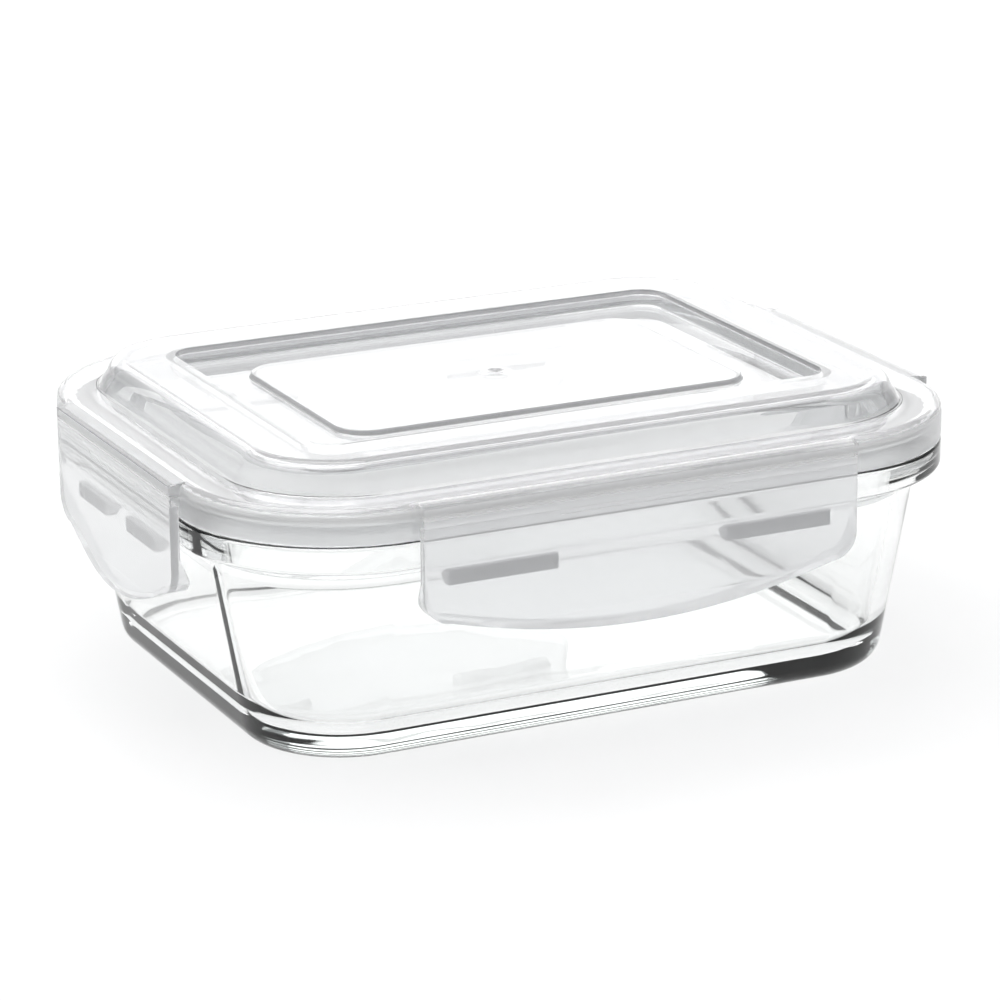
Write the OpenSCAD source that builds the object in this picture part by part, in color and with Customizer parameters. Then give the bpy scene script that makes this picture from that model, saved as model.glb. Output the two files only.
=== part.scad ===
// Snap lid food container: a glass dish, a press-on lid with a seal, and four latches on living hinges.
// Millimetres. The origin is the middle of the base, X is the long side, -Y is the front and +Z is up.

/* [Overall size] */
// Length of the lid and of the dish's rim
body_l = 180; // [150:1:220]
// Width of the lid and of the dish's rim
body_w = 141.5; // [125:0.5:180]
// Height of the dish
dish_h = 56.5; // [48:0.5:90]
// Corner radius of the lid's edge and of the rim
corner_r = 36.5; // [32:0.5:38]

/* [Glass dish] */
// Thickness of the dish's wall
glass_t = 3.5; // [2.8:0.1:4.5]
// Thickness of the dish's floor
floor_t = 4.5; // [3:0.1:6]
// Lean of the wall from upright, in degrees
wall_lean = 10; // [6:0.5:12]
// How far the wall stands in from the rim, at the base
base_inset = 13.5; // [12:0.5:16]
// Radius around the foot
foot_r = 5; // [3:0.5:7]
// Radius where the wall meets the floor inside
bowl_r = 9; // [6:0.5:11]
// Height of the bead around the rim
bead_h = 6.2; // [4.5:0.1:7.5]
// Height of the underside that slopes from the bead to the wall
bead_slope_h = 3; // [2:0.1:4]
// Height of the neck above the bead
neck_h = 4.5; // [3.5:0.1:6]
// How far the neck stands in from the bead
neck_inset = 2.6; // [2.5:0.1:3.4]

/* [Lid] */
// Thickness of the lid
lid_t = 1.8; // [1.4:0.1:2.1]
// Gap between the skirt and the bead's top
skirt_gap = 0.3; // [0.2:0.1:1]
// Radius over the lid's outer edge
lid_edge_r = 2; // [1:0.1:2.4]
// Width of the flat flange outside the dome
flange_w = 10.5; // [9.5:0.1:14]
// Corner radius of the dome's base
dome_r = 23.3; // [21.5:0.1:26]
// Height of the dome over the flange
dome_rise = 6.5; // [5:0.1:9]
// Radius over the dome's shoulder
shoulder_r = 4; // [2.5:0.1:4.5]
// From the dome's base to the recess
ring_w = 17.4; // [15:0.1:18]
// Depth of the recess in the dome
recess_d = 3.7; // [2:0.1:4.2]
// From the recess's edge to the raised pad
pad_inset = 12.4; // [8:0.1:18]
// Height of the raised pad
pad_rise = 1.3; // [0.6:0.1:1.8]
// Corner radius of the raised pad
pad_r = 8; // [4:0.5:12]
// Thickness of the rib that plugs into the dish
plug_t = 1.6; // [1.2:0.1:1.8]
// Depth of that rib under the lid
plug_h = 5.9; // [3:0.1:8]
// Gap between that rib and the glass
plug_gap = 0.7; // [0.4:0.1:1]

/* [Seal] */
// Height of the silicone seal
seal_h = 1.9; // [1.5:0.1:3]
// Gap between the seal's sides and the lid
seal_side_gap = 0.3; // [0.2:0.1:0.5]
// Gap between the seal's lips and the rim, before it is pressed down
seal_rim_gap = 0.1; // [0.05:0.05:0.3]

/* [Latches] */
// Width of the front and back latches
long_latch_w = 103; // [80:1:106]
// Width of the left and right latches
short_latch_w = 68; // [50:1:68]
// Height of the front and back latches, at the middle
long_latch_h = 27.3; // [24:0.1:30]
// Height of the left and right latches, at the middle
short_latch_h = 28.1; // [24:0.1:30]
// How far the lower edge of the front and back latches rises at its ends
long_latch_bow = 6.2; // [2:0.1:7]
// How far the lower edge of the left and right latches rises at its ends
short_latch_bow = 7.5; // [2:0.1:8]
// Thickness of the latches
latch_t = 2; // [1.5:0.1:3]
// Gap between a latch and the skirt or the bead
latch_gap = 0.4; // [0.3:0.1:0.8]
// Radius of the latches' lower corners
latch_r = 6; // [3:0.5:7]
// How far the grip at the lower edge leans out
grip_lean = 0.8; // [0:0.1:1.5]
// Height of the grip
grip_h = 4.5; // [3:0.1:6]
// Thickness of the edge turned in around a latch
turned_t = 1.2; // [0.8:0.1:2]
// Depth of that edge at its deepest
turned_d = 2.5; // [1:0.1:3]
// Height of the living hinge
hinge_h = 2; // [1.5:0.1:3]
// Thickness of the living hinge
hinge_t = 0.5; // [0.3:0.05:0.8]
// Height of the ledge that the hinge hangs from
ledge_h = 2.9; // [2:0.1:3.2]
// Length of the step in the middle of a latch's upper edge
step_l = 40; // [20:1:45]
// Depth of that step
step_d = 1; // [0.5:0.1:1.5]

/* [Locking lugs] */
// Length of each lug on the front and back latches
long_lug_l = 25.6; // [15:0.1:28]
// Length of each lug on the left and right latches
short_lug_l = 17; // [10:0.1:18]
// From the middle of a front or back latch to a lug
long_lug_start = 20; // [10:0.5:22]
// From the middle of a left or right latch to a lug
short_lug_start = 6; // [5:0.5:14]
// Height of a lug
lug_h = 3.5; // [2.8:0.1:4.5]
// Gap between a lug and the bead over it
lug_gap = 0.4; // [0.2:0.05:0.6]
// Depth of a lug behind its latch
lug_depth = 3.8; // [2.8:0.1:4.2]
// Bevel at a lug's ends
lug_bevel = 1.2; // [0.5:0.1:2]

/* [Hidden] */
$fn = 48;

// How far one solid reaches into its neighbour, or a cut reaches past what it cuts.
bite = 1;

// Small sizes of the lid: the ledge below the flange, the clearance and the steps of the dome's foot, the recess's lip,
// the pad's wall, and the mark that the moulding gate leaves.
ledge_drop = 0.3;
ledge_edge_r = 1.6;
foot_clear = 0.1;
foot_steps = [[0.5, 0.3], [1, 0.9]];
recess_lip_r = 0.8;
pad_wall = 1.2;
gate_r = 2.2;
gate_h = 0.3;
gate_wall = 0.5;
gate_nub = 0.6;

// Depths, in from the seal's edge, between which a lip touches the rim.
seal_lip = [1.2, 2];

// Small sizes of the latches: where the turned-in edge starts above the bead's slope, how deep it is there and how far
// down it reaches its full depth, where the lug's top turns down to its tip, and where the bead's underside starts.
turned_start = 0.4;
turned_start_d = 0.6;
turned_run = 5.5;
lug_shoulder = 0.8;
bead_edge = 1;
lug_droop = 0.2;
lug_under_bevel = 1.5;

half_l = body_l / 2;
half_w = body_w / 2;

// Heights, from the base up.
bead_top = dish_h - neck_h;
bead_bottom = bead_top - bead_h;
slope_bottom = bead_bottom - bead_slope_h;
skirt_bottom = bead_top + skirt_gap;
lid_under = dish_h + seal_rim_gap + seal_h;
flange_top = lid_under + lid_t;
ring_top = flange_top + dome_rise;
recess_top = ring_top - recess_d;
ledge_top = flange_top - ledge_drop;
ledge_bottom = ledge_top - ledge_h;
latch_top = ledge_bottom - hinge_h;

// Depths in from the lid's outer edge; a latch stands outside it, at a negative depth.
latch_out = -latch_gap - latch_t;
slope_depth = base_inset - slope_bottom * tan(wall_lean);
glass_across = glass_t / cos(wall_lean);
plug_depth = base_inset - (lid_under - plug_h) * tan(wall_lean) + glass_across + plug_gap;
flange_inner = flange_w + lid_t + foot_clear;

// A side of the container: the turn that brings the front to it, and the half width that it stands at.
FRONT = [0, half_w];
RIGHT = [90, half_l];
BACK = [180, half_w];
LEFT = [270, half_l];

CLEAR_GLASS = [0.82, 0.93, 0.89, 0.45];
CLEAR_PLASTIC = [0.93, 0.95, 0.96, 0.6];
LATCH_PLASTIC = [0.85, 0.87, 0.89, 0.8];
LUG_PLASTIC = [0.55, 0.57, 0.6, 1];
SILICONE = [0.97, 0.97, 0.95, 1];

// Points on an arc about c, from one angle to another.
function arc(c, r, from, to, steps = 8) =
    [for (i = [0:steps]) let (a = from + (to - from) * i / steps) c + r * [cos(a), sin(a)]];

// Centre of the round of radius r that touches a level line at height z and the leaning wall.
// inset is how far the wall's face stands inside the dish's outer face.
function round_centre(r, z, inset) = [
    corner_r - base_inset + ((z + r) * sin(wall_lean) - inset - r) / cos(wall_lean),
    z + r
];

// A point of a profile from its depth in from the lid's edge and its height.
function at(depth, z) = [corner_r - depth, z];

// Sweeps a profile around a rounded rectangle. In the profile x is the distance out from the corner's axis.
module around(half_x, half_y, r) {
    mid_x = half_x - r;
    mid_y = half_y - r;
    for (corner = [[1, 1, 0], [-1, 1, 90], [-1, -1, 180], [1, -1, 270]])
        translate([corner.x * mid_x, corner.y * mid_y, 0])
            rotate([0, 0, corner.z])
                rotate_extrude(angle = 90)
                    children();
    for (side = [[0, mid_x, mid_y], [90, mid_y, mid_x], [180, mid_x, mid_y], [270, mid_y, mid_x]])
        rotate([0, 0, side.x])
            translate([side.y, side.z, 0])
                rotate([90, 0, 0])
                    linear_extrude(2 * side.z)
                        children();
}

// A level slab between the four corner axes, which closes the middle of a swept profile.
module middle_slab(half_x, half_y, r, bottom, top) {
    translate([r - half_x, r - half_y, bottom])
        cube([2 * (half_x - r), 2 * (half_y - r), top - bottom]);
}

module rounded_rectangle(half_x, half_y, r) {
    square([2 * half_x, 2 * (half_y - r)], center = true);
    square([2 * (half_x - r), 2 * half_y], center = true);
    for (x = [r - half_x, half_x - r], y = [r - half_y, half_y - r])
        translate([x, y])
            circle(r);
}

// Puts its children on a side. Their x runs along the side, y is the depth in from the lid's edge.
module on_side(side) {
    rotate([0, 0, side[0]])
        translate([0, -side[1], 0])
            children();
}

// Draws a profile of depth and height along a side, from one x to another.
module along(from, to) {
    translate([from, 0, 0])
        rotate([90, 0, 90])
            linear_extrude(to - from)
                children();
}

// Draws an outline of x and height through a stretch of depth.
module through(from, to) {
    translate([0, to, 0])
        rotate([90, 0, 0])
            linear_extrude(to - from)
                children();
}

module dish_profile() {
    top_r = 0.8;
    polygon(concat(
        [[0, 0]],
        arc(round_centre(foot_r, 0, 0), foot_r, -90, -wall_lean),
        [at(slope_depth, slope_bottom)],
        arc(at(1, bead_bottom + 1), 1, -75, 0, 4),
        arc(at(top_r, bead_top - top_r), top_r, 0, 90, 4),
        [at(neck_inset, bead_top)],
        arc(at(neck_inset + top_r, dish_h - top_r), top_r, 0, 90, 4),
        arc(at(base_inset + glass_across - dish_h * tan(wall_lean) - 1.5, dish_h - 1.5), 1.5, 90, 170, 5),
        arc(round_centre(bowl_r, floor_t, glass_t), bowl_r, -wall_lean, -90),
        [[0, floor_t]]
    ));
}

module dish() {
    color(CLEAR_GLASS) {
        around(half_l, half_w, corner_r)
            dish_profile();
        middle_slab(half_l, half_w, corner_r, 0, floor_t);
    }
}

module skirt_profile() {
    polygon(concat(
        [at(0, skirt_bottom)],
        arc(at(lid_edge_r, flange_top - lid_edge_r), lid_edge_r, 0, 90),
        [
            at(flange_inner, flange_top),
            at(flange_inner, lid_under),
            at(plug_depth + plug_t, lid_under),
            at(plug_depth + plug_t, lid_under - plug_h + 0.5),
            at(plug_depth + plug_t - 0.5, lid_under - plug_h),
            at(plug_depth + 0.5, lid_under - plug_h),
            at(plug_depth, lid_under - plug_h + 0.5),
            at(plug_depth, lid_under),
            at(lid_t, lid_under),
            at(lid_t, skirt_bottom)
        ]
    ));
}

// The dome's ring and the rim of its recess. x is the distance out from the dome's own corner axis.
module dome_profile() {
    round_x = dome_r - shoulder_r - lid_t;
    round_z = ring_top - shoulder_r;
    recess_x = dome_r - ring_w;
    polygon(concat(
        [[dome_r, flange_top]],
        [for (step = foot_steps) [dome_r - step.x, flange_top + step.y]],
        arc([round_x, round_z], shoulder_r, 0, 90),
        arc([recess_x + recess_lip_r, ring_top - recess_lip_r], recess_lip_r, 90, 165, 4),
        [
            [recess_x - recess_lip_r, recess_top],
            [0, recess_top],
            [0, recess_top - lid_t],
            [recess_x + recess_lip_r, recess_top - lid_t],
            [recess_x + lid_t, ring_top - lid_t]
        ],
        arc([round_x, round_z], shoulder_r - lid_t, 90, 0),
        [[dome_r - lid_t, flange_top]]
    ));
}

// The ledge that a latch hangs from.
module hinge_ledge(side, width) {
    on_side(side)
        along(-width / 2, width / 2)
            polygon(concat(
                [[lid_t / 2, ledge_bottom], [latch_out, ledge_bottom]],
                arc([latch_out + ledge_edge_r, ledge_top - ledge_edge_r], ledge_edge_r, 180, 90, 6),
                [[lid_edge_r, ledge_top], [lid_edge_r, ledge_top - bite]]
            ));
}

// The raised pad in the middle of the recess, with the small mark that the moulding gate leaves.
module pad(half_x, half_y) {
    translate([0, 0, recess_top])
        linear_extrude(pad_rise)
            rounded_rectangle(half_x, half_y, pad_r);
    translate([0, 0, recess_top + pad_rise]) {
        difference() {
            cylinder(h = gate_h, r = gate_r);
            translate([0, 0, -bite])
                cylinder(h = gate_h + 2 * bite, r = gate_r - gate_wall);
        }
        cylinder(h = gate_nub, r = gate_nub);
    }
}

module lid() {
    dome_l = half_l - flange_w;
    dome_w = half_w - flange_w;
    pad_l = dome_l - ring_w - pad_inset;
    pad_w = dome_w - ring_w - pad_inset;
    color(CLEAR_PLASTIC) {
        around(half_l, half_w, corner_r)
            skirt_profile();
        around(dome_l, dome_w, dome_r)
            dome_profile();
        difference() {
            union() {
                middle_slab(dome_l, dome_w, dome_r, recess_top - lid_t, recess_top);
                pad(pad_l, pad_w);
            }
            translate([0, 0, recess_top - lid_t - bite])
                linear_extrude(bite + pad_rise)
                    rounded_rectangle(pad_l - pad_wall, pad_w - pad_wall, pad_r - pad_wall);
        }
        for (side = [FRONT, BACK])
            hinge_ledge(side, long_latch_w);
        for (side = [LEFT, RIGHT])
            hinge_ledge(side, short_latch_w);
    }
}

// A silicone ring with two lips that press on the glass rim.
module seal() {
    outer = lid_t + seal_side_gap;
    inner = plug_depth - seal_side_gap;
    middle = (outer + inner) / 2;
    bottom = dish_h + seal_rim_gap;
    lip_h = seal_h * 0.4;
    color(SILICONE)
        around(half_l, half_w, corner_r)
            polygon([
                at(outer, lid_under),
                at(outer, bottom + lip_h),
                at(outer + seal_lip[0], bottom),
                at(outer + seal_lip[1], bottom),
                at(middle, bottom + lip_h),
                at(inner - seal_lip[1], bottom),
                at(inner - seal_lip[0], bottom),
                at(inner, bottom + lip_h),
                at(inner, lid_under)
            ]);
}

// A latch's outline, drawn in by inset all round: x along the latch, y up.
module latch_outline(width, height, bow, inset) {
    half = width / 2 - inset;
    straight = half - latch_r + inset;
    bottom = latch_top - height + inset;
    step_x = step_l * width / long_latch_w / 2;
    function bowed(x) = [x, bottom + bow * pow(x / straight, 2)];
    corner = bowed(straight) + [0, latch_r - inset];
    right = concat(
        [for (i = [0:8]) bowed(straight * i / 8)],
        [for (i = [1:6]) let (a = -90 + 15 * i) corner + (latch_r - inset) * [cos(a), sin(a)]],
        [
            [half, latch_top - inset],
            [step_x + step_d, latch_top - inset],
            [step_x, latch_top - step_d - inset]
        ]
    );
    left = [for (i = [len(right) - 1:-1:1]) [-right[i].x, right[i].y]];
    polygon(concat(right, left));
}

// A latch plate with its grip, and an edge turned in around its lower half.
module latch(side, width, height, bow) {
    back = -latch_gap;
    bottom = latch_top - height - bite;
    grip_top = latch_top - height + grip_h;
    turned_top = slope_bottom + turned_start;
    color(LATCH_PLASTIC)
        on_side(side) {
            intersection() {
                through(latch_out - grip_lean - bite, 0)
                    latch_outline(width, height, bow, 0);
                along(-width, width)
                    polygon([
                        [back, latch_top],
                        [back, grip_top],
                        [back - grip_lean, bottom],
                        [latch_out - grip_lean, bottom],
                        [latch_out, grip_top],
                        [latch_out, latch_top]
                    ]);
            }
            intersection() {
                difference() {
                    through(latch_out, turned_d)
                        latch_outline(width, height, bow, 0);
                    through(latch_out - bite, turned_d + bite)
                        latch_outline(width, height, bow, turned_t);
                }
                along(-width, width)
                    polygon([
                        [back - latch_t / 2, turned_top],
                        [turned_start_d, turned_top],
                        [back + turned_d, turned_top - turned_run],
                        [back + turned_d, grip_top + bite],
                        [back, bottom],
                        [back - latch_t / 2, bottom]
                    ]);
            }
        }
}

// The two lugs of a latch, which lie under the bead and hold the lid down.
module lugs(side, start, length) {
    tip = lug_depth - latch_gap;
    slope = bead_slope_h / (slope_depth - bead_edge);
    outer_top = bead_bottom - lug_gap;
    tip_top = outer_top - slope * (tip - bead_edge) - lug_droop;
    color(LUG_PLASTIC)
        on_side(side)
            for (way = [-1, 1])
                intersection() {
                    along(way * (start + length / 2) - length / 2, way * (start + length / 2) + length / 2)
                        polygon([
                            [-latch_gap, outer_top - lug_h],
                            [-latch_gap, outer_top],
                            [lug_shoulder, outer_top],
                            [tip, tip_top],
                            [tip, outer_top - lug_h + lug_under_bevel],
                            [tip - lug_under_bevel, outer_top - lug_h]
                        ]);
                    translate([way * (start + length / 2), 0, outer_top - lug_h - bite])
                        linear_extrude(lug_h + 2 * bite)
                            polygon([
                                [-length / 2, -latch_gap - bite],
                                [-length / 2, tip - lug_bevel],
                                [lug_bevel - length / 2, tip + lug_droop],
                                [length / 2 - lug_bevel, tip + lug_droop],
                                [length / 2, tip - lug_bevel],
                                [length / 2, -latch_gap - bite]
                            ]);
                }
}

// The thin web that a latch turns on. Its lower edge follows the step in the latch.
module living_hinge(side, width) {
    step_x = step_l * width / long_latch_w / 2;
    color(LATCH_PLASTIC)
        on_side(side)
            through(latch_out, latch_out + hinge_t)
                polygon([
                    [-width / 2, ledge_bottom],
                    [-width / 2, latch_top],
                    [-step_x - step_d, latch_top],
                    [-step_x, latch_top - step_d],
                    [step_x, latch_top - step_d],
                    [step_x + step_d, latch_top],
                    [width / 2, latch_top],
                    [width / 2, ledge_bottom]
                ]);
}

module long_latch(side) {
    latch(side, long_latch_w, long_latch_h, long_latch_bow);
}

module short_latch(side) {
    latch(side, short_latch_w, short_latch_h, short_latch_bow);
}

dish();
lid();
seal();
long_latch(FRONT);  // front_latch
long_latch(BACK);  // back_latch
short_latch(LEFT);  // left_latch
short_latch(RIGHT);  // right_latch
lugs(FRONT, long_lug_start, long_lug_l);  // front_lugs
lugs(BACK, long_lug_start, long_lug_l);  // back_lugs
lugs(LEFT, short_lug_start, short_lug_l);  // left_lugs
lugs(RIGHT, short_lug_start, short_lug_l);  // right_lugs
living_hinge(FRONT, long_latch_w);  // front_living_hinge
living_hinge(BACK, long_latch_w);  // back_living_hinge
living_hinge(LEFT, short_latch_w);  // left_living_hinge
living_hinge(RIGHT, short_latch_w);  // right_living_hinge
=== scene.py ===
"""Snap lid food container: the finished look of its glass dish, clear lid, seal and four snap latches."""

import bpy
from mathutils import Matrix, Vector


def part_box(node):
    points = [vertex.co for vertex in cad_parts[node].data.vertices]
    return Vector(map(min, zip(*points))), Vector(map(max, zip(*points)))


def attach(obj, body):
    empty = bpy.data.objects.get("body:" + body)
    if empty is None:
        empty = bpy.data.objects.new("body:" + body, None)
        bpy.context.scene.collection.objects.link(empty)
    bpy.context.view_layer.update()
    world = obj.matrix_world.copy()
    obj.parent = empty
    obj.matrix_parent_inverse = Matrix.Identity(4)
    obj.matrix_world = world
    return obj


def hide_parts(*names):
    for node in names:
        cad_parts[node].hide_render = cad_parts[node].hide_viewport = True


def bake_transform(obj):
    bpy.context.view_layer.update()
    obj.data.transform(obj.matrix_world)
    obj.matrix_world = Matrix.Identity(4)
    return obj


bl_info = {
    "name": "Snap Lid Food Container",
    "version": (1, 0, 0),
    "blender": (4, 5, 0),
    "location": "View3D > Sidebar > Container",
    "description": "Models the dish, lid, seal and latches around the container's frame",
    "category": "Add Mesh",
}

import math

import bmesh
import bpy
from mathutils import Matrix, Vector

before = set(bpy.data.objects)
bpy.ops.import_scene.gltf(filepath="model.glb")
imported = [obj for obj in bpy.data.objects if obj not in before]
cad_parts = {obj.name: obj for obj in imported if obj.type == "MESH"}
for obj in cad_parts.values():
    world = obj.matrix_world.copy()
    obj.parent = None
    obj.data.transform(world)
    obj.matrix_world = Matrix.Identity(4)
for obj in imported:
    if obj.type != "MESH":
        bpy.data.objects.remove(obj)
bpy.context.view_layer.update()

MM = 0.001

# Two rims that are bridged stand this far apart in height, or the operator twists the faces between them.
LIFT = 0.02 * MM

# Edges shorter than this are merged away, and heights this close count as the same.
SPECK = 0.001 * MM

# A point counts as off a face when it is further from it than this.
NUDGE = 0.1 * MM

# The floor lies this far under the base, so that clear glass and floor don't share a plane.
FLOOR_GAP = 0.15 * MM

# Rows of faces that let a living hinge bend smoothly.
HINGE_ROWS = 10

# Width of the camera's sensor, in millimetres.
SENSOR_WIDTH = 36

# Each side: its name, and the turn about Z that brings the front to it.
SIDES = {"front": 0, "right": 90, "back": 180, "left": 270}

# Heights and half widths that the frame gives, in metres.
DISH_LOW, DISH_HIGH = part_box("dish")
LID_LOW, LID_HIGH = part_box("lid")
SEAL_LOW, SEAL_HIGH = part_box("seal")
HALF_LENGTH, HALF_WIDTH = DISH_HIGH.x, DISH_HIGH.y


def half_at(side):
    """Distance from the middle to the rim on that side."""
    return HALF_WIDTH if side in ("front", "back") else HALF_LENGTH


def side_box(side, part):
    """Width, lowest, highest, outermost depth and innermost depth of a side's node, as the side sees it."""
    low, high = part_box(f"{side}_{part}")
    across, width = (1, high.x - low.x) if side in ("front", "back") else (0, high.y - low.y)
    outer = max(abs(low[across]), abs(high[across]))
    inner = min(abs(low[across]), abs(high[across]))
    return width, low.z, high.z, half_at(side) - outer, half_at(side) - inner


# ---------------------------------------------------------------- sizes and colours


def length(name, description, default, **more):
    """A size property in metres."""
    return bpy.props.FloatProperty(
        name=name, description=description, default=default, unit="LENGTH", precision=5, **more
    )


def share(name, description, default, **more):
    """A property that is a share of one."""
    return bpy.props.FloatProperty(
        name=name, description=description, default=default, min=0, max=1, subtype="FACTOR", **more
    )


def colour(name, description, default):
    """A colour property."""
    return bpy.props.FloatVectorProperty(
        name=name, description=description, default=default, size=3, min=0, max=1, subtype="COLOR"
    )


def angle(name, description, degrees):
    """An angle property, given in degrees."""
    return bpy.props.FloatProperty(
        name=name, description=description, default=math.radians(degrees), subtype="ANGLE", unit="ROTATION"
    )


class DishSizes(bpy.types.PropertyGroup):
    """Sizes of the glass dish"""

    corner_radius: length("Corner radius", "Radius of the rim's corners, seen from above", 36.5 * MM)
    wall: length("Wall", "Thickness of the wall", 3.5 * MM)
    floor: length("Floor", "Thickness of the floor", 4.5 * MM)
    lean: angle("Lean", "Lean of the wall from upright", 10)
    base_inset: length("Base inset", "How far the wall stands in from the rim, at the base", 13.5 * MM)
    foot_radius: length("Foot radius", "Radius around the foot", 5 * MM)
    bowl_radius: length("Bowl radius", "Radius where the wall meets the floor inside", 9 * MM)
    bead_bottom: length("Bead bottom", "Height of the bead's lower edge", 45.8 * MM)
    bead_top: length("Bead top", "Height of the bead's upper edge", 52 * MM)
    slope: length("Slope", "Height of the underside that slopes from the bead to the wall", 3 * MM)
    neck_inset: length("Neck inset", "How far the neck stands in from the bead", 2.6 * MM)
    bead_radius: length("Bead radius", "Radius under the bead", 1.2 * MM)
    edge_radius: length("Edge radius", "Radius on the upper outer edges of the bead and the neck", 0.8 * MM)
    hollow_radius: length("Hollow radius", "Radius in the corner between the bead and the neck", 0.4 * MM)
    mouth_radius: length("Mouth radius", "Radius on the inner edge of the rim", 1.3 * MM)


class LidSizes(bpy.types.PropertyGroup):
    """Sizes of the lid"""

    thickness: length("Thickness", "Thickness of the lid", 1.8 * MM)
    skirt_edge: length("Skirt edge", "Radius on the skirt's lower edge", 0.35 * MM)
    flange_top: length("Flange top", "Height of the flat flange", 60.3 * MM)
    edge_radius: length("Edge radius", "Radius over the lid's outer edge", 2 * MM)
    flange: length("Flange", "Width of the flat flange outside the dome", 10.5 * MM)
    dome_radius: length("Dome radius", "Corner radius of the dome's base", 23.3 * MM)
    shoulder: length("Shoulder", "Radius over the dome's shoulder", 4 * MM)
    ring: length("Ring", "From the dome's base to the recess", 17.4 * MM)
    recess: length("Recess", "Depth of the recess in the dome", 3.7 * MM)
    pad_inset: length("Pad inset", "From the recess's edge to the raised pad", 12.4 * MM)
    pad_rise: length("Pad rise", "Height of the raised pad", 1.3 * MM)
    pad_radius: length("Pad radius", "Corner radius of the raised pad", 8 * MM)
    plug: length("Plug", "Thickness of the rib that plugs into the dish", 1.6 * MM)
    plug_drop: length("Plug drop", "Depth of that rib under the lid", 5.9 * MM)
    plug_depth: length("Plug depth", "How far that rib stands in from the lid's edge", 8.5 * MM)
    ledge: length("Ledge", "Height of the ledge that a latch hangs from", 2.9 * MM)
    plug_edge: length("Plug edge", "Radius on the lower edges of the rib that plugs into the dish", 0.5 * MM)
    foot_radius: length("Foot radius", "Radius where the dome rises from the flange", 0.8 * MM)
    lip_radius: length("Lip radius", "Radius on the recess's upper edge", 0.3 * MM)
    recess_radius: length("Recess radius", "Radius at the bottom of the recess's wall", 0.7 * MM)
    recess_slope: length("Recess slope", "How far the recess's wall leans in", 1.4 * MM)
    under_radius: length("Under radius", "Radii on the underside of the dome", 0.5 * MM)
    pad_edge: length("Pad edge", "Radii at the foot and the top of the raised pad's wall", 0.45 * MM)
    pad_slope: length("Pad slope", "How far the raised pad's wall leans in", 0.1 * MM)
    gate_radius: length("Gate radius", "Radius of the mark that the moulding gate leaves", 2.2 * MM)
    gate_rise: length("Gate rise", "Height of the mark's ring", 0.3 * MM)
    gate_nib: length("Gate nib", "Height of the nib in the middle of the mark", 0.6 * MM)


class SealSizes(bpy.types.PropertyGroup):
    """Sizes of the silicone seal"""

    rib_gap: length("Rib gap", "Gap between the seal and the lid's plug rib", 0.3 * MM)
    back_gap: length("Back gap", "Gap between the seal's back and the lid", 0.01 * MM)
    lip_radius: length("Lip radius", "Radius at the tip of each lip", 0.4 * MM)
    lip_inset: length("Lip inset", "How far each lip stands in from the seal's side", 1.6 * MM)
    lip_height: share("Lip height", "Height of the lips, as a share of the seal's", 0.4)


class LatchSizes(bpy.types.PropertyGroup):
    """Sizes of the four latches, their lugs and their living hinges"""

    plate: length("Plate", "Thickness of a latch", 2 * MM)
    gap: length("Gap", "Gap between a latch and the rim", 0.4 * MM)
    corner: length("Corner", "Radius of the lower corners", 6 * MM)
    long_bow: length("Long bow", "How far a long latch's lower edge rises at its ends", 6.2 * MM)
    short_bow: length("Short bow", "How far a short latch's lower edge rises at its ends", 7.5 * MM)
    step: length("Step", "Length of the step in a long latch's upper edge", 40 * MM)
    step_drop: length("Step drop", "Depth of that step", 1 * MM)
    turned: length("Turned edge", "Thickness of the edge turned in around a latch", 1.2 * MM)
    turned_depth: length("Turned depth", "Depth of that edge at its deepest", 2.5 * MM)
    grip: length("Grip", "Height of the grip at the lower edge", 4.5 * MM)
    turned_start: length("Turned start", "From the upper edge to where the turned edge begins", 12 * MM)
    turned_run: length("Turned run", "Height over which the turned edge deepens", 5.5 * MM)
    turned_flush: length("Turned flush", "Depth of the turned edge above its start", 0.15 * MM)
    grip_taper: share("Grip taper", "How fast the turned edge thins down the grip", 0.3)
    softness: length("Softness", "Radius on the moulded edges", 0.35 * MM)
    lug_slope: length("Lug slope", "Height of the slope on top of a lug", 1.6 * MM)
    lug_flat: length("Lug flat", "Depth at which a lug's slope begins", 0.8 * MM)
    lug_bevel: length("Lug bevel", "Bevel under a lug's tip", 1.5 * MM)
    waist_depth: length("Waist depth", "Depth of the groove along a living hinge", 0.2 * MM)
    waist_reach: length("Waist reach", "Half height of that groove", 0.6 * MM)
    long_lug: length("Long lug", "Length of each lug on a long latch", 25.6 * MM)
    short_lug: length("Short lug", "Length of each lug on a short latch", 17 * MM)


class Finishes(bpy.types.PropertyGroup):
    """Colours and clearness of the four materials"""

    glass: colour("Glass", "Colour of the glass", (0.995, 1.0, 0.998))
    glass_depth: colour("Glass depth", "Colour that light takes on inside the glass", (0.66, 0.86, 0.77))
    lid: colour("Lid", "Colour of the lid's clear plastic", (0.98, 0.98, 0.985))
    # Painted shade: the lid's steep walls take this greyer colour, standing in for the grey that the light
    # overhead leaves on them.
    lid_wall: colour("Lid wall", "Colour of the lid where a wall stands on edge", (0.78, 0.785, 0.79))
    # Painted shade: a dark line at the recess's sharp lip, standing in for the dark edge line that the light
    # leaves there.
    lid_lip: colour("Lid lip", "Colour of the lid at the recess's sharp lip", (0.5, 0.5, 0.505))
    plastic_depth: colour("Plastic depth", "Colour that light takes on in the plastics", (0.45, 0.46, 0.48))
    latch: colour("Latch", "Colour of the latches' milky plastic", (0.93, 0.935, 0.94))
    lug: colour("Lug", "Colour of the thick lugs", (0.4, 0.405, 0.415))
    seal: colour("Seal", "Colour of the silicone seal", (0.92, 0.92, 0.91))
    skirt_haze: share("Skirt haze", "Roughness of the lid's frosted skirt", 0.3)
    lid_clearness: share("Lid clearness", "Share of light that goes through the lid", 0.86)
    latch_clearness: share("Latch clearness", "Share of light that goes through the latches", 0.72)
    lug_clearness: share("Lug clearness", "Share of light that goes through the lugs", 0.3)


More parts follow.
